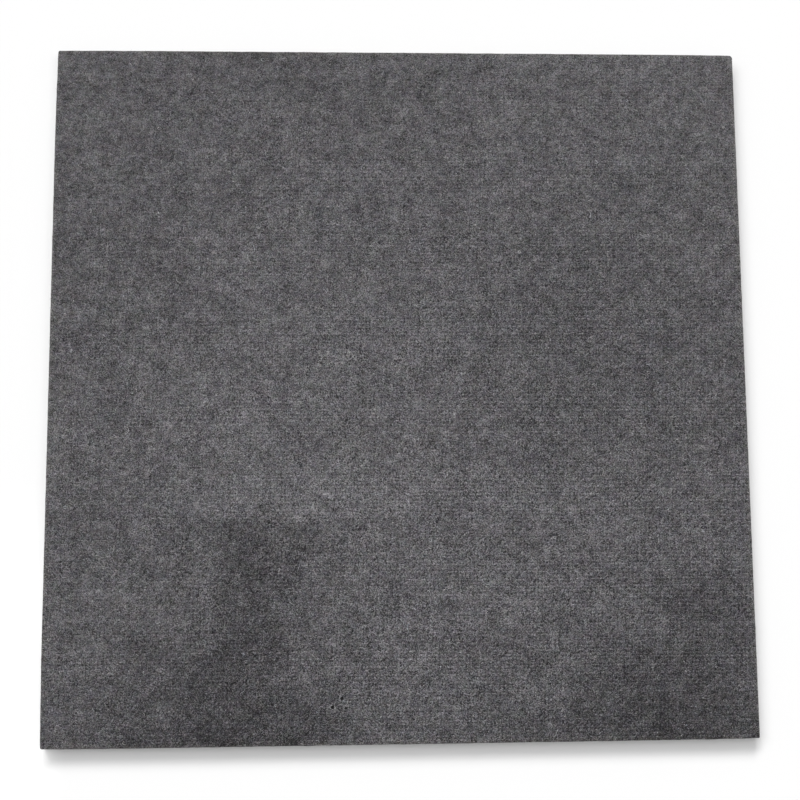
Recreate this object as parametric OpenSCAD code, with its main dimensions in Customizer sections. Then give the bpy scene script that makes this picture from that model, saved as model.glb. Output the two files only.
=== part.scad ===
// Needle-punched felt acoustic board, square and plain, lying on its back with the face up.
// The origin is the middle of the back. +X runs to the right of the face, +Y to its top edge.

/* [Board] */
// Width of the board across X
board_w = 600; // [300:5:1200]
// Height of the board across Y
board_h = 600; // [300:5:1200]
// Thickness of the felt
board_t = 12; // [8:0.5:25]

/* [Edges] */
// Roll of the cut arris round the face, where the needled skin pulls in
face_roll = 0.9; // [0.3:0.1:1.1]
// Roll of the cut arris round the back
back_roll = 0.5; // [0.3:0.1:1.1]

/* [Corners] */
// Radius of the top left corner
corner_tl = 1.5; // [1.2:0.1:20]
// Radius of the top right corner, the most worn one
corner_tr = 3; // [1.2:0.1:20]
// Radius of the bottom right corner, the sharpest one
corner_br = 1.2; // [1.2:0.1:20]
// Radius of the bottom left corner
corner_bl = 1.6; // [1.2:0.1:20]

/* [Pin pricks] */
// First prick, from the left edge and from the bottom edge
prick_first = [249, 38]; // [25:1:270]
// Second prick, from the left edge and from the bottom edge
prick_second = [241, 31]; // [25:1:270]
// Third prick, from the left edge and from the bottom edge
prick_third = [252, 30]; // [25:1:270]
// Diameter of the hole that the pin left
prick_d = 1.2; // [0.6:0.1:2]
// Width of the dished mouth round each hole
mouth_w = 0.5; // [0.2:0.1:1]
// Depth of the dished mouth
mouth_dip = 0.3; // [0.1:0.1:0.6]
// Depth of the hole below the face, with its pointed end
prick_depth = 4; // [2:0.5:6]

/* [Hidden] */
felt_grey = [0.36, 0.355, 0.365];
arc_fn = 64;
pricks = [prick_first, prick_second, prick_third];
// The corners in turn round the face: their radius, and the side that they lie on in X and Y
corners = [
    [corner_bl, -1, -1],
    [corner_br, 1, -1],
    [corner_tr, 1, 1],
    [corner_tl, -1, 1]
];
// The rim is one strip round the board, deep enough to take the largest corner
rim_w = 2 * max(corner_tl, corner_tr, corner_br, corner_bl);
prick_r = prick_d / 2;
mouth_r = prick_r + mouth_w;
// A cutting tool starts this far above the face
cut_over = 1;

function corner_x(c) = c[1] * (board_w / 2 - c[0]);
function corner_y(c) = c[2] * (board_h / 2 - c[0]);

// Quarter round, centred on the origin, that fills the first quadrant
module quarter(r) {
    intersection() {
        circle(r, $fn = arc_fn);
        square(r);
    }
}

// Section through the cut edge: the outer side stands at x = reach, with both its arrises rolled
module edge_section(reach) {
    translate([0, back_roll])
        square([reach, board_t - face_roll - back_roll]);
    translate([0, board_t - face_roll])
        square([reach - face_roll, face_roll]);
    square([reach - back_roll, back_roll]);
    translate([reach - face_roll, board_t - face_roll])
        quarter(face_roll);
    translate([reach - back_roll, back_roll])
        mirror([0, 1])
            quarter(back_roll);
}

// One rounded corner: the edge section turned about the corner's own centre
module corner_post(c) {
    translate([corner_x(c), corner_y(c), 0])
        rotate_extrude($fn = arc_fn)
            edge_section(c[0]);
}

// A straight run of edge, laid along X with its outer side at +Y
module edge_run(length) {
    rotate([90, 0, 90])
        linear_extrude(length)
            edge_section(rim_w);
}

// The four edge runs, each from one corner's centre to the next
module rim() {
    translate([corner_x(corners[3]), board_h / 2 - rim_w, 0])
        edge_run(corner_x(corners[2]) - corner_x(corners[3]));
    translate([corner_x(corners[1]), rim_w - board_h / 2, 0])
        rotate([0, 0, 180])
            edge_run(corner_x(corners[1]) - corner_x(corners[0]));
    translate([board_w / 2 - rim_w, corner_y(corners[2]), 0])
        rotate([0, 0, -90])
            edge_run(corner_y(corners[2]) - corner_y(corners[1]));
    translate([rim_w - board_w / 2, corner_y(corners[0]), 0])
        rotate([0, 0, 90])
            edge_run(corner_y(corners[3]) - corner_y(corners[0]));
}

// The field inside the rim, lapped over it by half the rim's width
module field() {
    lap_w = board_w - rim_w;
    lap_h = board_h - rim_w;
    translate([-lap_w / 2, -lap_h / 2, 0])
        cube([lap_w, lap_h, board_t]);
}

// What a pin pushed into the face takes away: a dished mouth, a round hole and a pointed end
module prick_cut() {
    rotate_extrude($fn = arc_fn)
        polygon([
            [0, -prick_depth],
            [prick_r, prick_r - prick_depth],
            [prick_r, -mouth_dip],
            [mouth_r, 0],
            [mouth_r, cut_over],
            [0, cut_over]
        ]);
}

module felt_board() {
    color(felt_grey)
        difference() {
            union() {
                field();
                rim();
                for (c = corners) {
                    corner_post(c);
                }
            }
            for (p = pricks) {
                translate([p[0] - board_w / 2, p[1] - board_h / 2, board_t])
                    prick_cut();
            }
        }
}

felt_board();
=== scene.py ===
# Needle-punched felt acoustic board: its cut square, its loose fibres and its melange finish.
# Numbers are millimetres until a mesh is made. +X is the face's right, +Y its top edge, +Z out of it.
import math

import bpy
import numpy as np
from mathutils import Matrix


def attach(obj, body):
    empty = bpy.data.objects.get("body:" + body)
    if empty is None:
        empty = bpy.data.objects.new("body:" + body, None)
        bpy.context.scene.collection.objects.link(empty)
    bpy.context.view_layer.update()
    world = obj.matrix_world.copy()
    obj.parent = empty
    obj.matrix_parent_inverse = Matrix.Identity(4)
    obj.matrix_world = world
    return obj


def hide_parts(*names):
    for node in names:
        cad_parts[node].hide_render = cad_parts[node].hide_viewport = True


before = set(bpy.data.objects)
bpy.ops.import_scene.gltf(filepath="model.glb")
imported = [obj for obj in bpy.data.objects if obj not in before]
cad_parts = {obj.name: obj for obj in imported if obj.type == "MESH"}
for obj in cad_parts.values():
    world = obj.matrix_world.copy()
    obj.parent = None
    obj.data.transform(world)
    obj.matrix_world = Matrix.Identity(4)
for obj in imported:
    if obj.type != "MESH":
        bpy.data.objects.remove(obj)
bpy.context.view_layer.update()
mm = 0.001


def patch(grid):
    # The four corners of every cell of a grid, counter-clockwise where rows run right and columns run up.
    return np.stack([grid[:-1, :-1], grid[1:, :-1], grid[1:, 1:], grid[:-1, 1:]], 2)


def unit(vectors):
    return vectors / np.linalg.norm(vectors, axis=-1, keepdims=True)


def closed(rings):
    # Each ring's first entry again at its end.
    return np.concatenate([rings, rings[:, :1]], 1)


def drawnIn(share, gap):
    # 0 to 1 becomes gap to 1 - gap, so that neighbours on the map stay apart.
    return share * (1 - 2 * gap) + gap


class Skin:
    # The points and faces of one mesh. Each corner of a face has a place on the map,
    # and each point has one number for each of the skin's marks.
    def __init__(self, *marks):
        self.points, self.faces, self.places = [], [], []
        self.marks = {name: [] for name in marks}
        self.count = 0

    def addPoints(self, points, **marks):
        # Returns the points' numbers, arranged as the points are.
        self.points.append(points.reshape(-1, 3))
        for name, values in self.marks.items():
            values.append(np.broadcast_to(marks.get(name, 0.0), points.shape[:-1]).reshape(-1))
        numbers = self.count + np.arange(len(self.points[-1])).reshape(points.shape[:-1])
        self.count += numbers.size
        return numbers

    def addFaces(self, numbers, places):
        self.faces.append(numbers.reshape(-1, numbers.shape[-1]))
        self.places.append(places.reshape(-1, 2))

    def makePiece(self, name):
        # Points that no face uses are dropped. "OFBake" is the map that the finish is baked on.
        corners = np.concatenate([table.reshape(-1) for table in self.faces])
        used, renamed = np.unique(corners, return_inverse=True)
        cuts = np.cumsum([table.size for table in self.faces])[:-1]
        rows = []
        for part, table in zip(np.split(renamed, cuts), self.faces):
            rows += part.reshape(table.shape).tolist()
        mesh = bpy.data.meshes.new(name)
        mesh.from_pydata((np.concatenate(self.points)[used] * mm).tolist(), [], rows)
        places = np.concatenate(self.places).astype(np.float32)
        mesh.uv_layers.new(name="OFBake").data.foreach_set("uv", places.reshape(-1))
        for mark, values in self.marks.items():
            numbers = np.concatenate(values)[used].astype(np.float32)
            mesh.attributes.new(mark, "FLOAT", "POINT").data.foreach_set("value", numbers)
        mesh.shade_smooth()
        piece = bpy.data.objects.new(name, mesh)
        bpy.context.scene.collection.objects.link(piece)
        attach(piece, "root")
        print(name, len(used), "points,", sum(len(row) - 2 for row in rows), "triangles")
        return piece


def makeWaves(rng, shortest, longest, count):
    # Level waves of random heading, as rows (kx, ky, phase), the k in radians per millimetre.
    heading = rng.uniform(0, 2 * math.pi, count)
    turns = 2 * math.pi / rng.uniform(shortest, longest, count)
    phase = rng.uniform(0, 2 * math.pi, count)
    return np.stack([turns * np.cos(heading), turns * np.sin(heading), phase], 1)


def swell(x, y, waves):
    # Sum of cos(kx x + ky y + phase) over the waves, scaled to a spread of 1.
    total = np.zeros(np.broadcast(x, y).shape)
    for kx, ky, phase in waves:
        total += np.cos(kx * x + ky * y + phase)
    return total * math.sqrt(2 / len(waves))


# The board, one closed skin
board = {
    "side": 600.0,  # width and height of the face
    "thick": 12.0,
    "faceRoll": 0.9,  # roll of the cut arris round the face
    "backRoll": 0.5,
    "corners": {(-1, 1): 1.5, (1, 1): 3.0, (1, -1): 1.2, (-1, -1): 1.6},  # radius, by its side in x and y
    "borderSteps": [0, 0.15, 0.3, 0.45, 0.6, 0.9, 1.2, 1.65, 2.1, 2.8, 3.8, 5.2, 7.0],  # in from an edge
    "middleCells": 240,  # grid cells between the two borders
    "backEvery": 4,  # the back keeps every fourth of the middle lines
    "sideHeights": [9.4, 7.6, 5.8, 4.0, 2.2],  # rings down the cut side
    # Unevenness: its spread, then the shortest and the longest of its waves, and how many there are
    "loftShort": (0.085, 8, 15, 60),
    "loftLong": (0.13, 18, 70, 40),
    "cutWander": (0.07, 5, 30, 30),  # how the knife's cut wanders in and out
    "wanderDown": 3,  # how much quicker it wanders down the cut than along it
    "loftAtEdge": 0.35,  # share of the face's unevenness that is left at the arris
    "loftReturns": 9,  # the way in over which that share would grow by 1
    "backLoft": 0.06,
    "undersideTo": 0.2,  # rings below this height have the back's finish
    # Towards a corner the left side and the two ends pull in, over this length and with this power
    "worn": {"left": 0.95, "ends": 0.4, "length": 85, "power": 1.6},
    "seed": 11,
}
pricks = {
    "places": [(-51.0, -262.0), (-59.0, -269.0), (-48.0, -270.0)],
    "widen": [0.0, 0.15, 0.27],  # how much each one is pulled sideways
    "size": [1.22, 1.08, 0.84],  # how wide each one is, against the rings' radii
    # Rings from the raised lip down into the hole: radius, height over the face, and how dark the painted
    # shade is there, which is below 0 where the lip gets a painted highlight
    "radius": [2.1, 1.65, 1.25, 0.98, 0.74, 0.62, 0.58, 0.52, 0.3],
    "rise": [0.03, 0.1, 0.08, -0.1, -0.35, -0.9, -2.2, -3.3, -3.8],
    "dark": [-0.2, -0.55, 0.2, 0.9, 1, 1, 1, 1, 1],
    "tip": -4.0,
    "mouth": 4,  # rings that lie on the face's part of the map
}
feltMap = {  # left, bottom, width and height on the map, as shares of its side
    "face": (0.003, 0.326, 0.994, 0.671),
    "back": (0.003, 0.070, 0.994, 0.250),
    "sides": (0.003, 0.004, 0.900, 0.062),
    "pricks": (0.915, 0.004, 0.080, 0.062),
}
mapGaps = {  # what stays free beside a strip or a cell of the map, as a share of it
    "backEnds": 0.01,
    "backSides": 0.05,
    "cutSides": 0.07,
    "fibres": 0.06,
    "pricks": 0.1,
}
prickWalls = (0.95, 0.2)  # where a hole's wall starts and ends on its strip's height
boardRng = np.random.default_rng(board["seed"])
shortWaves = makeWaves(boardRng, *board["loftShort"][1:])
longWaves = makeWaves(boardRng, *board["loftLong"][1:])
cutWaves = makeWaves(boardRng, *board["cutWander"][1:])
half = board["side"] / 2
faceHalf = half - board["faceRoll"]


def loft(x, y):
    # Height of the needled skin over the flat: a short swell and a long one.
    return board["loftShort"][0] * swell(x, y, shortWaves) + board["loftLong"][0] * swell(x, y, longWaves)


def inCorners(x, y):
    # For each corner: its two signs, its centre's distance from the axes, the places (a, b) of the points
    # past that centre, measured from it, and which points they are.
    for (sx, sy), radius in board["corners"].items():
        a, b = sx * x - (half - radius), sy * y - (half - radius)
        here = (a > 0) & (b > 0)
        yield sx, sy, half - radius, a[here], b[here], here


def bendCorners(x, y):
    # Past a corner's centre (a, b) becomes (a, b) max(a, b) / |(a, b)|, so a square becomes a quarter disc.
    x, y = x.copy(), y.copy()
    for sx, sy, centre, a, b, here in inCorners(x, y):
        pull = np.maximum(a, b) / np.hypot(a, b)
        x[here], y[here] = sx * (centre + a * pull), sy * (centre + b * pull)
    return x, y


def outward(x, y, square):
    # Away from the centre in a corner, and square to the side elsewhere.
    away = square.astype(float)
    for sx, sy, _, a, b, here in inCorners(x, y):
        away[here] = unit(np.stack([sx * a, sy * b], 1))
    return away


def wearCorners(points):
    # Moves points in by worn c ** power o ** 2, with c running from 0 at the worn length to 1 at a corner,
    # and o from 0 in the middle of the board to 1 at the side.
    worn = board["worn"]
    x, y = points[:, 0].copy(), points[:, 1].copy()
    toCorner = [np.clip(1 - (half - np.abs(line)) / worn["length"], 0, 1) for line in (x, y)]
    nearX, nearY = (c ** worn["power"] for c in toCorner)
    points[:, 0] += worn["left"] * nearY * np.clip(-x / half, 0, 1) ** 2
    points[:, 1] -= worn["ends"] * nearX * np.sign(y) * (y / half) ** 2


def cutSection():
    # Inset from the outline and height of each ring: a quarter turn, the straight side and a quarter turn.
    faceTurn, backTurn = np.radians([22.5, 45, 67.5, 90]), np.radians([0, 30, 60, 90])
    faceRoll, backRoll, side = board["faceRoll"], board["backRoll"], np.array(board["sideHeights"])
    inset = [faceRoll * (1 - np.sin(faceTurn)), 0 * side, backRoll * (1 - np.cos(backTurn))]
    height = [board["thick"] - faceRoll * (1 - np.cos(faceTurn)), side, backRoll * (1 - np.sin(backTurn))]
    return np.concatenate(inset), np.concatenate(height)


def toMap(area, u, v):
    # A place on the map, for u and v from 0 to 1 across the area and up it.
    left, bottom, width, height = feltMap[area]
    u, v = np.broadcast_arrays(u, v)
    return np.stack([left + width * u, bottom + height * v], -1)


def onFace(x, y):
    return toMap("face", x / board["side"] + 0.5, y / board["side"] + 0.5)


def onBack(x, y):
    # The back lies on the map as four bands, two by two, turned over so that it isn't mirrored.
    x, y = 0.5 - x / board["side"], y / board["side"] * 4 + 2
    band = np.clip(y.mean(-1, keepdims=True).astype(int), 0, 3)
    u = drawnIn(x, mapGaps["backEnds"]) + band % 2
    v = drawnIn(y - band, mapGaps["backSides"]) + band // 2
    return toMap("back", u / 2, v / 2)


def addBack(skin, faceX, faceY, rimI, rimJ, lastRing):
    # The face's grid again with fewer lines, raised here and there by backLoft |swell|. A border cell is
    # a fan that takes in every point of the rim along it.
    last, close = len(faceX) - 1, len(board["borderSteps"]) - 1
    middle = np.arange(close, last - close, board["backEvery"])
    kept = np.concatenate([np.arange(close), middle, np.arange(last - close, last + 1)])
    inner = np.ix_(kept[1:-1], kept[1:-1])
    x, y = faceX[inner], faceY[inner]
    z = board["backLoft"] * np.abs(swell(x, y, longWaves[::-1]))
    number = np.full((last + 1, last + 1), -1)
    number[inner] = skin.addPoints(np.stack([x, y, z], -1), underside=1)
    number[rimI, rimJ] = lastRing
    x, y = np.concatenate(skin.points)[:, :2].T
    cells = patch(number[inner].T).reshape(-1, 4)
    skin.addFaces(cells, onBack(x[cells], y[cells]))
    outer = len(kept) - 2
    for p, q in np.ndindex(outer + 1, outer + 1):
        if p in (0, outer) or q in (0, outer):
            a, b, c, d = kept[p], kept[p + 1], kept[q], kept[q + 1]
            loop = np.concatenate([number[a, c:d], number[a:b, d], number[b, d:c:-1], number[b:a:-1, c]])
            loop = loop[loop >= 0]
            loop = np.roll(loop, -loop.argmax())  # starts at a point of the back itself, the fan's centre
            fan = np.stack([np.full(len(loop) - 2, loop[0]), loop[1:-1], loop[2:]], 1)
            skin.addFaces(fan, onBack(x[fan], y[fan]))


def addPrick(skin, which, block, numbers, faceX, faceY):
    # Rings round the hole, (px + (r + widen) cos a, py + r sin a, thick + loft + rise). The outermost one
    # joins the twelve points round the three by three cells that are left out for it, corner first.
    i = block[0] + np.array([0, 1, 2, 3, 3, 3, 3, 2, 1, 0, 0, 0])
    j = block[1] + np.array([0, 0, 0, 0, 1, 2, 3, 3, 3, 3, 2, 1])
    count, cornerTurn = len(i), -0.75 * math.pi
    (px, py), widen = pricks["places"][which], pricks["widen"][which]
    radius, rise, dark = (np.array(pricks[key])[:, None] for key in ("radius", "rise", "dark"))
    radius = radius * pricks["size"][which]
    turn = np.arange(count) * 2 * math.pi / count + cornerTurn
    x, y = px + (radius + widen) * np.cos(turn), py + radius * np.sin(turn)
    # Each ring carries painted shade down the hole, or a painted highlight on the lip; the tip is fully
    # shaded
    rings = skin.addPoints(np.stack([x, y, board["thick"] + loft(x, y) + rise], -1), hollow=dark)
    tip = skin.addPoints(np.array([[px, py, board["thick"] + pricks["tip"]]]), hollow=1)
    levels = closed(np.concatenate([numbers[i, j][None], rings]))
    x, y = closed(np.concatenate([faceX[i, j][None], x])), closed(np.concatenate([faceY[i, j][None], y]))
    mouth = pricks["mouth"]
    skin.addFaces(patch(levels[:mouth + 1].T), patch(onFace(x, y)[:mouth + 1].swapaxes(0, 1)))
    u = (which + np.arange(count + 1) / count * (1 - mapGaps["pricks"])) / len(pricks["places"])
    v = np.linspace(*prickWalls, len(levels) - mouth)[:, None]
    walls = toMap("pricks", u, v)
    skin.addFaces(patch(levels[mouth:].T), patch(walls.swapaxes(0, 1)))
    ends = np.stack([levels[-1, :-1], levels[-1, 1:], np.broadcast_to(tip, count)], -1)
    point = toMap("pricks", (u[:-1] + u[1:]) / 2, 0.0)
    skin.addFaces(ends, np.stack([walls[-1, :-1], walls[-1, 1:], point], -2))


def makeBoard():
    skin = Skin("cutSide", "underside", "hollow")
    steps = np.array(board["borderSteps"])
    inner = faceHalf - steps[-1]
    middle = np.linspace(-inner, inner, board["middleCells"] + 1)[1:-1]
    lines = np.concatenate([steps - faceHalf, middle, faceHalf - steps[::-1]])
    last = len(lines) - 1

    # The face is a grid on those lines with bent corners. The loft dies down towards the arris.
    faceX, faceY = bendCorners(*np.meshgrid(lines, lines, indexing="ij"))
    toEdge = faceHalf - np.maximum(np.abs(faceX), np.abs(faceY))
    lofted = np.clip(board["loftAtEdge"] + toEdge / board["loftReturns"], 0, 1)
    faceZ = board["thick"] + loft(faceX, faceY) * lofted
    numbers = skin.addPoints(np.stack([faceX, faceY, faceZ], -1))
    whole = np.ones((last, last), bool)
    blocks = [np.searchsorted(lines, place) - 2 for place in pricks["places"]]
    for i, j in blocks:
        whole[i:i + 3, j:j + 3] = False
    skin.addFaces(patch(numbers)[whole], patch(onFace(faceX, faceY))[whole])
    for which, block in enumerate(blocks):
        addPrick(skin, which, block, numbers, faceX, faceY)

    # The rim is the face's border carried down the section, each point along its own outward direction.
    walk, none, full = np.arange(last), np.zeros(last, int), np.full(last, last)
    rimI = np.concatenate([walk, full, last - walk, none])
    rimJ = np.concatenate([none, walk, full, last - walk])
    border = np.stack([faceX[rimI, rimJ], faceY[rimI, rimJ], faceZ[rimI, rimJ]], 1)
    away = outward(*border[:, :2].T, np.repeat([[0, -1], [1, 0], [0, 1], [-1, 0]], last, axis=0))
    along = np.cumsum(np.hypot(*np.diff(border[:, :2], axis=0, append=border[:1, :2]).T))
    inset, height = (column[:, None] for column in cutSection())
    roll = np.clip((height - board["thick"] + board["faceRoll"]) / board["faceRoll"], 0, 1)
    wander = board["cutWander"][0] * swell(along[None], board["wanderDown"] * height, cutWaves)
    wander = wander * (height > 0) * (1 - roll)
    reach = (board["faceRoll"] - inset + wander)[:, :, None]
    rimZ = height + (border[:, 2] - board["thick"]) * roll
    rimPoints = np.concatenate([border[:, :2] + away * reach, rimZ[:, :, None]], -1)
    under = height < board["undersideTo"]
    rings = skin.addPoints(rimPoints, cutSide=(1 - roll) * ~under, underside=1.0 * under)
    levels = closed(np.concatenate([numbers[rimI, rimJ][None], rings]))

    # On the map each side of the rim is a strip: along it by the share of its length, and across it by the
    # share of the way down the section.
    inward = np.diff(inset[:, 0], prepend=board["faceRoll"])
    fall = np.hypot(inward, np.diff(height[:, 0], prepend=board["thick"]))
    down = np.concatenate([[0], np.cumsum(fall)])[:, None] / fall.sum()
    starts = np.concatenate([[0], along])
    for side in range(4):
        part = slice(side * last, (side + 1) * last + 1)
        share = (starts[part] - starts[part][0]) / (starts[part][-1] - starts[part][0])
        places = toMap("sides", share, (side + drawnIn(1 - down, mapGaps["cutSides"])) / 4)
        skin.addFaces(patch(levels[:, part]), patch(places))
    addBack(skin, faceX, faceY, rimI, rimJ, rings[-1])
    for points in [*skin.points, border]:
        wearCorners(points)
    piece = skin.makePiece("feltBoard")
    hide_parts("felt_board")
    return piece, border, away, along


feltBoard, border, borderAway, borderAlong = makeBoard()

# Loose fibres. Each is a thin tube of three sides, its ends drawn to a point.
# "turn" is the spread of its turn in radians, "rings" its points. A "bias" below 1 makes more fibres pale
lyingFibres = {
    "faceCurls": {"count": 850, "length": (5, 14), "turn": 3.2, "radius": (0.06, 0.12), "rings": 15,
                  "tone": (0.5, 0.92), "bias": 1, "arch": 0.35, "seed": 21, "under": False},
    "faceGlints": {"count": 340, "length": (1.4, 3.6), "turn": 0.9, "radius": (0.1, 0.2), "rings": 5,
                   "tone": (0.6, 0.98), "bias": 0.8, "arch": 0.2, "seed": 24, "under": False},
    "faceNeps": {"count": 200, "length": (1.3, 2.8), "turn": 1.2, "radius": (0.22, 0.42), "rings": 5,
                 "tone": (0.5, 0.72), "bias": 0.8, "arch": 0.1, "seed": 25, "under": False},
    "faceNap": {"count": 7200, "length": (1.8, 5.5), "turn": 1.3, "radius": (0.04, 0.085), "rings": 5,
                "tone": (0.2, 0.8), "bias": 0.8, "arch": 0.25, "seed": 22, "under": False},
    "backNap": {"count": 3200, "length": (2.5, 8), "turn": 1.6, "radius": (0.04, 0.08), "rings": 6,
                "tone": (0.2, 0.75), "bias": 0.8, "arch": 0.05, "seed": 23, "under": True},
}
lying = {  # what these kinds share
    "shortened": 0.7,  # a fibre keeps at least this share of its length
    "mostTurn": 1.6,  # in spreads
    "wave": 0.5,  # how much it turns to and fro, against its plain turn
    "waveTurns": 2.2,  # radians of that wave in half a fibre
    "inside": 1.2,  # no fibre's middle line comes nearer to the outline
    "above": 0.5,  # how far that line is over the skin, in radii
    "dip": 0.25,  # how far both ends go down into the skin
}
edgeFibres = {
    "count": 6500,
    "length": (0.35, 1.9),
    "short": 2.2,  # above 1, more are short
    "radius": (0.018, 0.036),
    "rings": 4,
    "tone": (0.22, 0.75),
    "overBack": 0.4,  # the least height of a root over the back
    "underFace": 0.2,  # the least way of a root under the face
    "onRoll": 0.96,  # how closely roots follow the rolled arris
    "rooted": 0.15,  # how deep they are
    "lean": 0.55,  # spread of the lean along the side
    "leanUp": 0.7,  # lean up and down, as a share of that
    "arrisUp": 0.8,  # how much fibres on the arris point up
    "bend": (0.8, 0.6),  # along the side, and up and down, by the spread of the lean
    "droop": 0.15,
    "lowest": 0.08,  # no fibre's middle line is lower
    "seed": 31,
}
fibreTaper = (0.82, 2.5)  # share of the radius that is gone at both ends, and the power that it goes with


def makeFibres(name, spines, radius, upright, tone, tint):
    # Ring k of a fibre: spine k + r (side cos a + lift sin a) for a = 90, 210 and 330 degrees, where
    # r = radius (1 - taper |s| ** power) for s from -1 to 1. No fibre runs along the direction upright.
    count, rings = spines.shape[:2]
    ahead = unit(np.gradient(spines, axis=1))
    side = unit(np.cross(upright, ahead))
    lift = np.cross(ahead, side)
    taper, power = fibreTaper
    r = radius[:, None] * (1 - taper * np.abs(np.linspace(-1, 1, rings)) ** power)
    turn = np.radians([90, 210, 330])[:, None]
    ring = side[:, :, None] * np.cos(turn) + lift[:, :, None] * np.sin(turn)
    skin = Skin("tone", "tint")
    each = (slice(None), None, None)
    points = spines[:, :, None] + ring * r[:, :, None, None]
    numbers = skin.addPoints(points, tone=tone[each], tint=tint[each])
    rowLength = math.ceil(math.sqrt(count))
    column, row = np.arange(count) % rowLength, np.arange(count) // rowLength

    def inCell(u, v):
        # A place in each fibre's own square of the map.
        u, v = (drawnIn(line, mapGaps["fibres"]) for line in np.broadcast_arrays(u, v))
        shape = (count,) + (1,) * u.ndim
        return np.stack([column.reshape(shape) + u, row.reshape(shape) + v], -1) / rowLength

    u = np.linspace(0, 1, rings)
    for edge in range(3):
        near, far = numbers[:, :, edge], numbers[:, :, (edge + 1) % 3]
        quads = np.stack([near[:, :-1], far[:, :-1], far[:, 1:], near[:, 1:]], -1)
        low, high = edge / 3, (edge + 1) / 3
        places = [inCell(u[:-1], low), inCell(u[:-1], high), inCell(u[1:], high), inCell(u[1:], low)]
        skin.addFaces(quads, np.stack(places, -2))
    cap = inCell(np.array([0, 0.1, 0.05]), np.array([0, 0, 0.1]))  # both ends lie on a corner of the cell
    skin.addFaces(numbers[:, 0, ::-1], cap)
    skin.addFaces(numbers[:, -1], cap)
    return skin.makePiece(name)


def lieDown(name, kind):
    # A fibre lies on the felt. For s from -1 to 1 its heading is start + turn s + wave sin(k s + phase), and
    # x and y add up the steps along it. Over the skin it stands above + arch (1 - s s) - dip |s| ** 5.
    rng = np.random.default_rng(kind["seed"])
    count, rings = kind["count"], kind["rings"]
    length = rng.uniform(*kind["length"], count)[:, None] * rng.uniform(lying["shortened"], 1, (count, 1))
    radius = rng.uniform(*kind["radius"], count)
    s = np.linspace(-1, 1, rings)
    most = lying["mostTurn"]
    turn = np.clip(rng.normal(0, 1, (2, count, 1)), -most, most) * kind["turn"]
    phase = rng.uniform(0, 2 * math.pi, (count, 1))
    heading = rng.uniform(0, 2 * math.pi, (count, 1)) + turn[0] * s
    heading = heading + lying["wave"] * turn[1] * np.sin(lying["waveTurns"] * s + phase)
    step = length / (rings - 1)
    x, y = np.cumsum(step * np.cos(heading), 1), np.cumsum(step * np.sin(heading), 1)
    room = half - lying["inside"]
    middle = rng.uniform(-room, room, (2, count, 1))
    x, y = x - x.mean(1, keepdims=True) + middle[0], y - y.mean(1, keepdims=True) + middle[1]
    for line in (x, y):  # a fibre that would hang over the edge slides back onto the felt
        past = np.maximum(line.max(1, keepdims=True) - room, 0)
        line -= past + np.minimum(line.min(1, keepdims=True) + room, 0)
    arch = rng.uniform(0, kind["arch"], (count, 1)) * (1 - s * s)
    proud = lying["above"] * radius[:, None] + arch - lying["dip"] * np.abs(s) ** 5
    z = -proud if kind["under"] else board["thick"] + loft(x, y) + proud
    low, high = kind["tone"]
    tone = low + (high - low) * rng.uniform(0, 1, count) ** kind["bias"]
    spines, up = np.stack([x, y, z], -1), np.array([0, 0, 1.0])
    return makeFibres(name, spines, radius, up, tone, rng.normal(0, 1, count))


def standOut():
    # A fibre leaves the cut side: p(s) = root + length (s d + s s b / 2) for s from 0 to 1, d near the side's
    # outward direction and b its bend.
    fuzz = edgeFibres
    rng = np.random.default_rng(fuzz["seed"])
    count = fuzz["count"]
    at = np.searchsorted(borderAlong, rng.uniform(0, borderAlong[-1], count))
    after = (at + 1) % len(border)
    share = rng.uniform(0, 1, (count, 1))
    away = unit(borderAway[at] * (1 - share) + borderAway[after] * share)
    out = np.concatenate([away, np.zeros((count, 1))], 1)
    root = border[at] * (1 - share) + border[after] * share
    height = rng.uniform(fuzz["overBack"], board["thick"] - fuzz["underFace"], count)
    root[:, 2] = height
    over = np.clip(height - board["thick"] + board["faceRoll"], 0, None)[:, None] / board["faceRoll"]
    root += out * board["faceRoll"] * np.sqrt(1 - fuzz["onRoll"] * over ** 2) - fuzz["rooted"] * out
    along = np.stack([-out[:, 1], out[:, 0], 0 * height], 1)
    up = np.array([[0, 0, 1.0]])
    lean = rng.normal(0, fuzz["lean"], (4, count, 1))
    start = unit(out + along * lean[0] + up * (fuzz["leanUp"] * lean[1] + fuzz["arrisUp"] * over))
    bendAlong, bendUp = fuzz["bend"]
    bend = bendAlong * along * lean[2] + up * (bendUp * lean[3] - fuzz["droop"])
    low, high = fuzz["length"]
    length = (low + (high - low) * rng.uniform(0, 1, count) ** fuzz["short"])[:, None, None]
    s = np.linspace(0, 1, fuzz["rings"])[:, None]
    spines = root[:, None] + length * (s * start[:, None] + s * s / 2 * bend[:, None])
    spines[:, :, 2] = np.maximum(spines[:, :, 2], fuzz["lowest"])
    radius = rng.uniform(*fuzz["radius"], count)
    tone = rng.uniform(*fuzz["tone"], count)
    return makeFibres("edgeFuzz", spines, radius, along[:, None], tone, rng.normal(0, 1, count))


fibrePieces = [lieDown(name, kind) for name, kind in lyingFibres.items()] + [standOut()]

# Finishes. Amounts of tone are display levels, up to fullLevel
fullLevel = 255
displayPower = 2.2  # from a display level to the light that it stands for
noiseGain = 7.5  # brings the Noise node's spread to about 1


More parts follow.
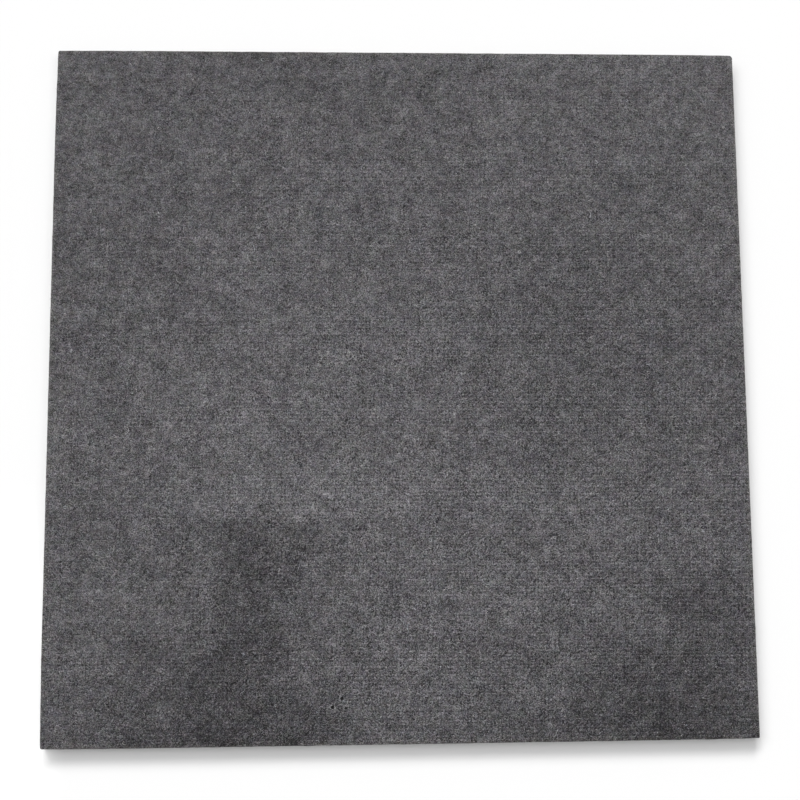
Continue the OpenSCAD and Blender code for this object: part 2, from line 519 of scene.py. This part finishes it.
class Wire:
    # A number or vector on its way through a finish. Sums written on it become Math nodes.
    def __init__(self, sheet, socket):
        self.sheet, self.socket = sheet, socket

    def __add__(self, term):
        return self.sheet.math("ADD", self, term)

    def __radd__(self, term):
        return self.sheet.math("ADD", term, self)

    def __sub__(self, term):
        return self.sheet.math("SUBTRACT", self, term)

    def __rsub__(self, term):
        return self.sheet.math("SUBTRACT", term, self)

    def __mul__(self, term):
        return self.sheet.math("MULTIPLY", self, term)

    def __rmul__(self, term):
        return self.sheet.math("MULTIPLY", term, self)

    def __pow__(self, term):
        return self.sheet.math("POWER", self, term)

    def __abs__(self):
        return self.sheet.math("ABSOLUTE", self)


class Sheet:
    # The nodes of one material, or of the world. owner has to be new.
    def __init__(self, owner, shader):
        owner.use_nodes = True
        self.tree = owner.node_tree
        self.shader = self.tree.nodes[shader]

    def feed(self, node, sockets):
        for key, value in sockets.items():
            if isinstance(value, Wire):
                self.tree.links.new(value.socket, node.inputs[key])
            else:
                node.inputs[key].default_value = value

    def node(self, kind, settings=None, sockets=None, output=0):
        made = self.tree.nodes.new(kind)
        for key, value in (settings or {}).items():
            setattr(made, key, value)
        self.feed(made, sockets or {})
        return Wire(self, made.outputs[output])

    def shade(self, sockets):
        self.feed(self.shader, sockets)

    def math(self, operation, *terms):
        return self.node("ShaderNodeMath", {"operation": operation}, dict(enumerate(terms)))

    def place(self):
        # Where a point is on the object, in millimetres.
        onObject = self.node("ShaderNodeTexCoord", output="Object")
        return self.node("ShaderNodeVectorMath", {"operation": "SCALE"}, {0: onObject, "Scale": 1 / mm})

    def xAndY(self, place):
        return [self.node("ShaderNodeSeparateXYZ", None, {0: place}, axis) for axis in ("X", "Y")]

    def moved(self, place, turn=(0, 0, 0), stretch=(1, 1, 1), by=(0, 0, 0)):
        # place turned by degrees, then each axis squeezed by its stretch, so a pattern on it is drawn out.
        turned = self.node("ShaderNodeVectorRotate", {"rotation_type": "EULER_XYZ"},
                           {"Vector": place, "Rotation": [math.radians(a) for a in turn]})
        return self.node("ShaderNodeMapping", {"vector_type": "POINT"},
                         {"Vector": turned, "Scale": [1 / a for a in stretch], "Location": by})

    def cloud(self, place, size, detail=0.0, curl=0.0):
        # Noise whose lumps are about size across, with mean 0 and spread about 1.
        sockets = {"Vector": place, "Scale": 1 / size, "Detail": detail, "Distortion": curl}
        return (self.node("ShaderNodeTexNoise", {"noise_dimensions": "3D"}, sockets) - 0.5) * noiseGain

    def clouds(self, place, amounts):
        # Clouds added up, each size of lump with its own amount.
        total = 0.0
        for size, amount in amounts.items():
            total = self.cloud(place, size) * amount + total
        return total

    def ease(self, value, low, high):
        # 0 at low and 1 at high, with a smooth start and end.
        return self.node("ShaderNodeMapRange", {"interpolation_type": "SMOOTHSTEP"},
                         {"Value": value, "From Min": low, "From Max": high})

    def mark(self, name):
        # One of the numbers that a skin's points carry.
        return self.node("ShaderNodeAttribute", {"attribute_name": name}, output="Fac")

    def colour(self, tone, redder, bluer):
        # tone is green's display level. redder and bluer are the levels that red and blue stand over it.
        levels = {"Red": tone + redder, "Green": tone, "Blue": tone + bluer}
        bright = {name: (level * (1 / fullLevel)) ** displayPower for name, level in levels.items()}
        return self.node("ShaderNodeCombineColor", None, bright)


feltFinish = {
    "tone": 90.6,
    "clouds": {70: 0.5, 30: 1.5, 15: 2.9, 8: 2.5, 4.5: 5.2, 2.6: 1.8},  # size of the lumps: amount
    "grain": {1.6: 4.6, 1.25: 10.0, 0.8: 18.1, 0.6: 15.2},
    "pits": 0.0055,  # how much more the grain's dark parts stand out than its pale ones
    "crisp": (20, -120, 1.4e-6),  # x and y where fine detail is strongest, and how fast it fades from there
    "hole": 80,  # how dark the painted shade inside a prick is
    "hue": (1.4, 2.6),  # levels that red and blue stand over green
    "hueClouds": {35: 0.17, 12: 0.4, 4: 0.92, 1.7: 0.74},
    "hueShared": 0.6,  # how much of red's clouds blue has too
    "rim": {"width": 6, "blueLost": 2.4},  # towards the edge of the face
    # A painted highlight along the face's rolled arris, where light catches the fibres
    "arris": {"width": 3.2, "paintedHighlight": 11},
    "cut": {"stretch": (9, 9, 0.55), "detail": 2.0, "layers": 7, "darker": 10},  # the cut side shows layers
    "apart": {"stray": (0, 0, 40), "red": (31, 7, 3), "blue": (3, 57, 9)},  # makes these clouds differ
    "relief": {"strand": 0.045, "grain": 0.002, "marks": 0.015, "layers": 0.06},  # millimetres for each unit
    "roughness": 0.9,
    "strandsSmoother": 0.03,  # what pale strands take off it
    "gloss": {"Specular IOR Level": 0.2, "Sheen Weight": 0.1, "Sheen Roughness": 0.6},
}
strandFinish = {
    "turns": {"MAXIMUM": (14, 101), "MINIMUM": (58, 147)},  # the ways that the pale and the dark strands lie
    "width": 0.5,
    "stretch": (3.4, 1, 1.5),  # length and depth over width
    "curl": 0.6,
    "apart": 2.3,  # makes the four clouds differ, by their degrees of turn
    "amount": 13.1,
}
needling = {
    "middle": 1.3,  # strength of the marks in the middle of the face, and its growth with x and y
    "perX": 0.001,
    "perY": -0.0011,
    "stray": {110: 0.45, 5: 0.12},  # how far the marks stray, in waves of these sizes
    "highlightAside": (0.85, -1.1),  # from a hole to its painted highlight, away from the light
    "weak": 0.2,  # strength of the needles that follow a run's strong ones
    "patches": 6,  # size of the patches in which the marks come out stronger or weaker
    "holeVary": (0.4, 0.7),  # strength without the patches, and what they add
    "highlightVary": (0.9, 0.3),
}
# Two runs through the needle loom: the cell that repeats and the needles' places in it, how far a row slips
# sideways for each millimetre up, reach and amount of a hole's painted shade and of the painted highlight
# beside it, and how many needles are strong
needleRuns = [
    {"cell": (6.504, 6.284), "slip": 0.0497, "hole": (1.05, 14.5), "highlight": (1.05, 14), "strong": 2,
     "needles": [(0, 0), (3.25, 3.14), (3.25, 0), (0, 3.14)]},
    {"cell": (20.2, 6.583), "slip": -0.0166, "hole": (1.1, 10), "highlight": None, "strong": 7,
     "needles": [(0.8, 6.1), (3.4, 3.9), (7.1, 3.4), (8.5, 6.2), (11.2, 6.2), (14.1, 3.9), (16.8, 2.2)]},
]
advance = {6.583: 0.9, 3.29: 2.1, 2.194: 2.2}  # ridges of the second run's strokes, by the way between them
# Patches of nap laid over by hand, and broad paler and darker zones that are partly painted light and shade
napAndLightPatches = [  # left, right, bottom, top, how soft each side is, and how dark
    {"box": (-156, -100, -226, -113), "soft": (7, 28, 20, 3), "dark": 13},
    {"box": (-178, -74, -400, -114), "soft": (24, 16, 40, 4), "dark": 4},
    {"box": (-242, -92, -400, -212), "soft": (26, 30, 40, 26), "dark": 11},
    {"box": (-176, -100, -400, -228), "soft": (22, 20, 40, 18), "dark": 6},
    {"box": (-400, -66, -400, -262), "soft": (40, 20, 40, 16), "dark": 4},
    {"box": (-96, -52, -400, -250), "soft": (12, 14, 40, 16), "dark": 7},
    {"box": (-400, 120, -400, -284), "soft": (40, 60, 40, 10), "dark": 3.2},
    {"box": (217, 280, -400, -161), "soft": (11, 16, 40, 4), "dark": 7},
    {"box": (222, 400, -400, -176), "soft": (9, 40, 40, 6), "dark": 6.5},
    {"box": (162, 224, -400, -214), "soft": (6, 8, 40, 5), "dark": 12},
    {"box": (140, 162, -400, -240), "soft": (6, 6, 40, 6), "dark": 8},
    {"box": (190, 400, -400, -250), "soft": (20, 40, 40, 12), "dark": 3.5},
    {"box": (150, 400, -400, -236), "soft": (20, 40, 40, 14), "dark": 4},
    {"box": (60, 400, -400, -262), "soft": (50, 40, 40, 16), "dark": 4},
    {"box": (50, 150, -400, -226), "soft": (30, 12, 40, 24), "dark": 4},
    {"box": (70, 290, -70, 120), "soft": (70, 40, 50, 60), "dark": 3.5},
    {"box": (-400, -150, 60, 250), "soft": (60, 60, 60, 60), "dark": 2.5},
    {"box": (0, 100, -280, -150), "soft": (40, 30, 30, 40), "dark": -2.5},
    {"box": (-215, 60, -112, 90), "soft": (60, 60, 3, 110), "dark": -5},
    {"box": (-165, -30, -112, -60), "soft": (40, 40, 3, 40), "dark": -6},
    {"box": (-66, 10, -200, -100), "soft": (14, 30, 40, 40), "dark": -4},
    {"box": (40, 200, -165, -70), "soft": (50, 50, 24, 40), "dark": -3},
    {"box": (60, 400, 230, 400), "soft": (60, 40, 40, 40), "dark": -3},
    {"box": (-260, 20, 250, 400), "soft": (40, 60, 20, 40), "dark": 3},
]
brushBend = {"size": 38, "detail": 2.0, "x": 0.35, "y": 0.12}  # a cloud that bends them, by their softness


def mattedFibres(felt, place):
    # Clouds drawn out along their own headings. The greater of two is pale strands, the less of two dark.
    total = 0.0
    for operation, turns in strandFinish["turns"].items():
        crossed = []
        for turn in turns:
            by = (turn * strandFinish["apart"], 0, 0)
            drawnOut = felt.moved(place, turn=(0, 0, turn), stretch=strandFinish["stretch"], by=by)
            crossed.append(felt.cloud(drawnOut, strandFinish["width"], curl=strandFinish["curl"]))
        total = felt.math(operation, *crossed) + total
    return total


def paintedNeedleShading(felt, place, x, y):
    # Each needle leaves a hole with painted shade in it and, in the first run, a painted highlight beside it
    # on the lit wall.
    def spots(run, reach, aside):
        # A dot at every needle of the run's cell: u and v run from the nearest one, 1 at its reach.
        width, rise = run["cell"]
        total = 0.0
        for number, (atX, atY) in enumerate(run["needles"]):
            u = (x - y * run["slip"]) - (atX + aside[0])
            v = y - (atY + aside[1])
            u = felt.math("WRAP", u, width / 2, -width / 2) * (1 / reach)
            v = felt.math("WRAP", v, rise / 2, -rise / 2) * (1 / reach)
            strength = 1.0 if number < run["strong"] else needling["weak"]
            total = felt.ease(u * u + v * v, 1.0, 0.0) * strength + total
        return total

    holes, highlights = 0.0, 0.0
    for run in needleRuns:
        reach, dark = run["hole"]
        holes = spots(run, reach, (0, 0)) * dark + holes
        if run["highlight"]:
            reach, light = run["highlight"]
            highlights = spots(run, reach, needling["highlightAside"]) * light + highlights
    patches = felt.cloud(place, needling["patches"])
    (plainHole, addHole), (plainHighlight, addHighlight) = needling["holeVary"], needling["highlightVary"]
    return holes * (abs(patches) * addHole + plainHole), highlights * (patches * addHighlight + plainHighlight)


def strokeRidges(felt, y):
    # Sum of amount cos(2 pi y / way) over the ways.
    total = 0.0
    for way, amount in advance.items():
        total = felt.math("COSINE", y * (2 * math.pi / way)) * amount + total
    return total


def napAndLightTone(felt, place, x, y):
    # Soft boxes whose sides a cloud bends, the sharper ones less.
    bend = felt.cloud(place, brushBend["size"], detail=brushBend["detail"])
    total = 0.0
    for nap in napAndLightPatches:
        left, right, bottom, top = nap["box"]
        softLeft, softRight, softBottom, softTop = nap["soft"]
        inX = x + bend * (brushBend["x"] * softLeft)
        inY = y + bend * (brushBend["y"] * min(softBottom, softTop))
        mask = felt.ease(inX, left - softLeft, left + softLeft)
        mask = mask * felt.ease(inX, right + softRight, right - softRight)
        mask = mask * felt.ease(inY, bottom - softBottom, bottom + softBottom)
        mask = mask * felt.ease(inY, top + softTop, top - softTop)
        total = mask * nap["dark"] + total
    return total


def finishFelt():
    melange = bpy.data.materials.new("greyMelangeFelt")
    felt = Sheet(melange, "Principled BSDF")
    place = felt.place()
    x, y = felt.xAndY(place)
    cutSide, underside, hollow = (felt.mark(name) for name in ("cutSide", "underside", "hollow"))
    flat = 1.0 - cutSide
    face = flat * (1.0 - underside)
    apart = feltFinish["apart"]

    # Fine detail: grain, matted strands and the marks of the needle loom, which are relief and also painted
    # shade and painted highlight
    grain = felt.clouds(place, feltFinish["grain"])
    strands = mattedFibres(felt, place)
    strayX = x + felt.clouds(place, needling["stray"])
    strayY = y + felt.clouds(felt.moved(place, by=apart["stray"]), needling["stray"])
    holes, highlights = paintedNeedleShading(felt, place, strayX, strayY)
    needled = (x * needling["perX"] + y * needling["perY"] + needling["middle"]) * flat
    # The needle marks go into the colour as painted shade and highlight, and into the relief below
    marks = (highlights - holes) * needled
    fine = grain - grain * grain * feltFinish["pits"] + strands * strandFinish["amount"]
    midX, midY, fade = feltFinish["crisp"]
    crisp = 1.0 - ((x - midX) ** 2.0 + (y - midY) ** 2.0) * fade

    # Broad tone: clouds, painted shade and highlight at the pricks, laid-over nap with broad painted light
    # and shade, the arris's painted highlight, and the cut side
    # Painted shade inside the pricks, and a painted highlight on their lips
    tone = felt.clouds(place, feltFinish["clouds"]) + feltFinish["tone"] - hollow * feltFinish["hole"]
    tone = tone + (fine + marks + strokeRidges(felt, strayY) * needled) * crisp
    rimFinish, arrisFinish, cut = feltFinish["rim"], feltFinish["arris"], feltFinish["cut"]
    fromMiddle = felt.math("MAXIMUM", abs(x), abs(y))
    rim = felt.ease(fromMiddle, half - rimFinish["width"], half)
    arris = felt.ease(fromMiddle, half - arrisFinish["width"], half)
    layers = felt.cloud(felt.moved(place, stretch=cut["stretch"]), 1.0, detail=cut["detail"]) * cutSide
    # The arris gets its painted highlight; the cut side shows layers and is darker
    tone = tone + layers * cut["layers"] + arris * flat * arrisFinish["paintedHighlight"] - cutSide * cut["darker"]
    tone = tone - napAndLightTone(felt, place, x, y) * face

    height = feltFinish["relief"]
    relief = strands * height["strand"] + grain * height["grain"]
    relief = relief + marks * height["marks"] + layers * height["layers"]
    bump = felt.node("ShaderNodeBump", None, {"Height": relief * mm, "Distance": 1.0, "Strength": 1.0})
    redHue, blueHue = feltFinish["hue"]
    redder = felt.clouds(felt.moved(place, by=apart["red"]), feltFinish["hueClouds"])
    bluer = felt.clouds(felt.moved(place, by=apart["blue"]), feltFinish["hueClouds"])
    bluer = bluer + redder * feltFinish["hueShared"] - rim * rimFinish["blueLost"]
    felt.shade({
        "Base Color": felt.colour(tone, redder + redHue, bluer + blueHue),
        "Roughness": feltFinish["roughness"] - strands * feltFinish["strandsSmoother"],
        "Normal": bump,
        **feltFinish["gloss"],
    })
    return melange


fibreFinish = {
    "mottle": (1.4, 8),  # size of the lumps, and amount
    "red": (4, 1),  # levels over green for each unit of tint, and for all
    "blue": (-3, 2),
    "relief": (0.2, 0.008),  # size of the lumps, and millimetres
    "roughness": (0.04, 0.72),  # for each unit of tint, and for all
    "gloss": {"Specular IOR Level": 0.3, "Sheen Weight": 0.1},
}


def finishFibres():
    polyester = bpy.data.materials.new("looseFibre")
    fibre = Sheet(polyester, "Principled BSDF")
    place, tint = fibre.place(), fibre.mark("tint")
    size, amount = fibreFinish["mottle"]
    tone = fibre.mark("tone") * fullLevel + fibre.cloud(place, size, detail=1.0) * amount
    varied = (fibreFinish[name] for name in ("red", "blue", "roughness"))
    redder, bluer, roughness = (tint * byTint + plain for byTint, plain in varied)
    size, depth = fibreFinish["relief"]
    relief = fibre.cloud(place, size) * (depth * mm)
    fibre.shade({
        "Base Color": fibre.colour(tone, redder, bluer),
        "Roughness": roughness,
        "Normal": fibre.node("ShaderNodeBump", None, {"Height": relief, "Distance": 1.0}),
        **fibreFinish["gloss"],
    })
    return polyester


feltBoard.data.materials.append(finishFelt())
looseFibre = finishFibres()
for piece in fibrePieces:
    piece.data.materials.append(looseFibre)
print("finishes ready")

# Floor, light and camera
studio = {
    "floorTone": 0.94,
    "floorReach": 6000.0,
    "floorHeight": -0.2,  # just clear of the back's loose fibres
    "floorLift": 0.06,  # what the camera alone sees added to the floor, so that it is white where it is lit
    "paintedCornerLight": 0.09,  # painted light, seen by the camera alone, to the left of the board's lower half; it pales the shadow there
    "cornerX": (-280, -300),  # where that more starts, and where it is whole
    "cornerY": (-60, -200),
    "sky": 0.195,  # light from all round
    "suns": [  # turn from +Y towards +X, height over the floor, width of the light, its share of the light
        (-20, 40, 16, 0.24),
        (0, 34, 14, 0.19),
        (-45, 42, 20, 0.085),
        (-70, 45, 24, 0.09),
        (90, 60, 30, 0.09),
        (0, 75, 30, 0.11),
    ],
    "lens": 54.0,
    "sensor": 36,
    "lensShift": (-0.02517, 0.01621),
    "cameraPlace": (-0.02544, -0.14197, 1.0343),  # metres
    "cameraTurn": (6.6688, -2.2728, -0.5371),
}


def seenByCamera(sheet):
    # 1 for what the camera sees, straight on, in a reflection or through glass.
    seen = sheet.node("ShaderNodeLightPath", output="Is Camera Ray")
    for way in ("Is Glossy Ray", "Is Transmission Ray"):
        seen = sheet.math("MAXIMUM", seen, sheet.node("ShaderNodeLightPath", output=way))
    return seen


def makeFloor():
    # A square at the floor's height, (x reach, y reach, height) for x and y of -1 or 1.
    reach, height = studio["floorReach"] * mm, studio["floorHeight"] * mm
    corners = [(x * reach, y * reach, height) for x, y in ((-1, -1), (1, -1), (1, 1), (-1, 1))]
    mesh = bpy.data.meshes.new("floor")
    mesh.from_pydata(corners, [], [(0, 1, 2, 3)])
    floor = bpy.data.objects.new("floor", mesh)
    bpy.context.scene.collection.objects.link(floor)
    paper = bpy.data.materials.new("paleFloor")
    sheet = Sheet(paper, "Principled BSDF")
    x, y = sheet.xAndY(sheet.place())
    # Painted light: to the left of the board's lower half the camera sees the floor, and its shadow, paler
    corner = sheet.ease(x, *studio["cornerX"]) * sheet.ease(y, *studio["cornerY"])
    sheet.shade({
        "Base Color": (studio["floorTone"], studio["floorTone"], studio["floorTone"], 1),
        "Roughness": 1.0,
        "Specular IOR Level": 0.0,
        "Emission Color": seenByCamera(sheet) * (corner * studio["paintedCornerLight"] + studio["floorLift"]),
        "Emission Strength": 1.0,
    })
    mesh.materials.append(paper)


def makeSky():
    world = bpy.data.worlds.new("sky")
    bpy.context.scene.world = world
    sheet = Sheet(world, "Background")
    strength = studio["sky"] + seenByCamera(sheet) * (1 - studio["sky"])
    sheet.shade({"Color": (1, 1, 1, 1), "Strength": strength})


def makeSuns():
    # The share is what falls on level ground, so the energy is pi share / sin(height).
    for number, (turn, height, width, share) in enumerate(studio["suns"]):
        sun = bpy.data.lights.new(f"sun{number}", "SUN")
        sun.energy = math.pi * share / math.sin(math.radians(height))
        sun.angle = math.radians(width)
        lamp = bpy.data.objects.new(sun.name, sun)
        lamp.rotation_euler = (math.radians(height - 90), 0, math.radians(-turn))
        bpy.context.scene.collection.objects.link(lamp)


def makeCamera():
    lens = bpy.data.cameras.new("camera")
    lens.lens = studio["lens"]
    lens.sensor_width = studio["sensor"]
    lens.shift_x, lens.shift_y = studio["lensShift"]
    camera = bpy.data.objects.new("camera", lens)
    camera.location = studio["cameraPlace"]
    camera.rotation_euler = [math.radians(a) for a in studio["cameraTurn"]]
    bpy.context.scene.collection.objects.link(camera)
    bpy.context.scene.camera = camera


makeFloor()
makeSky()
makeSuns()
makeCamera()
bpy.context.scene.view_settings.view_transform = "Standard"
print("studio ready")
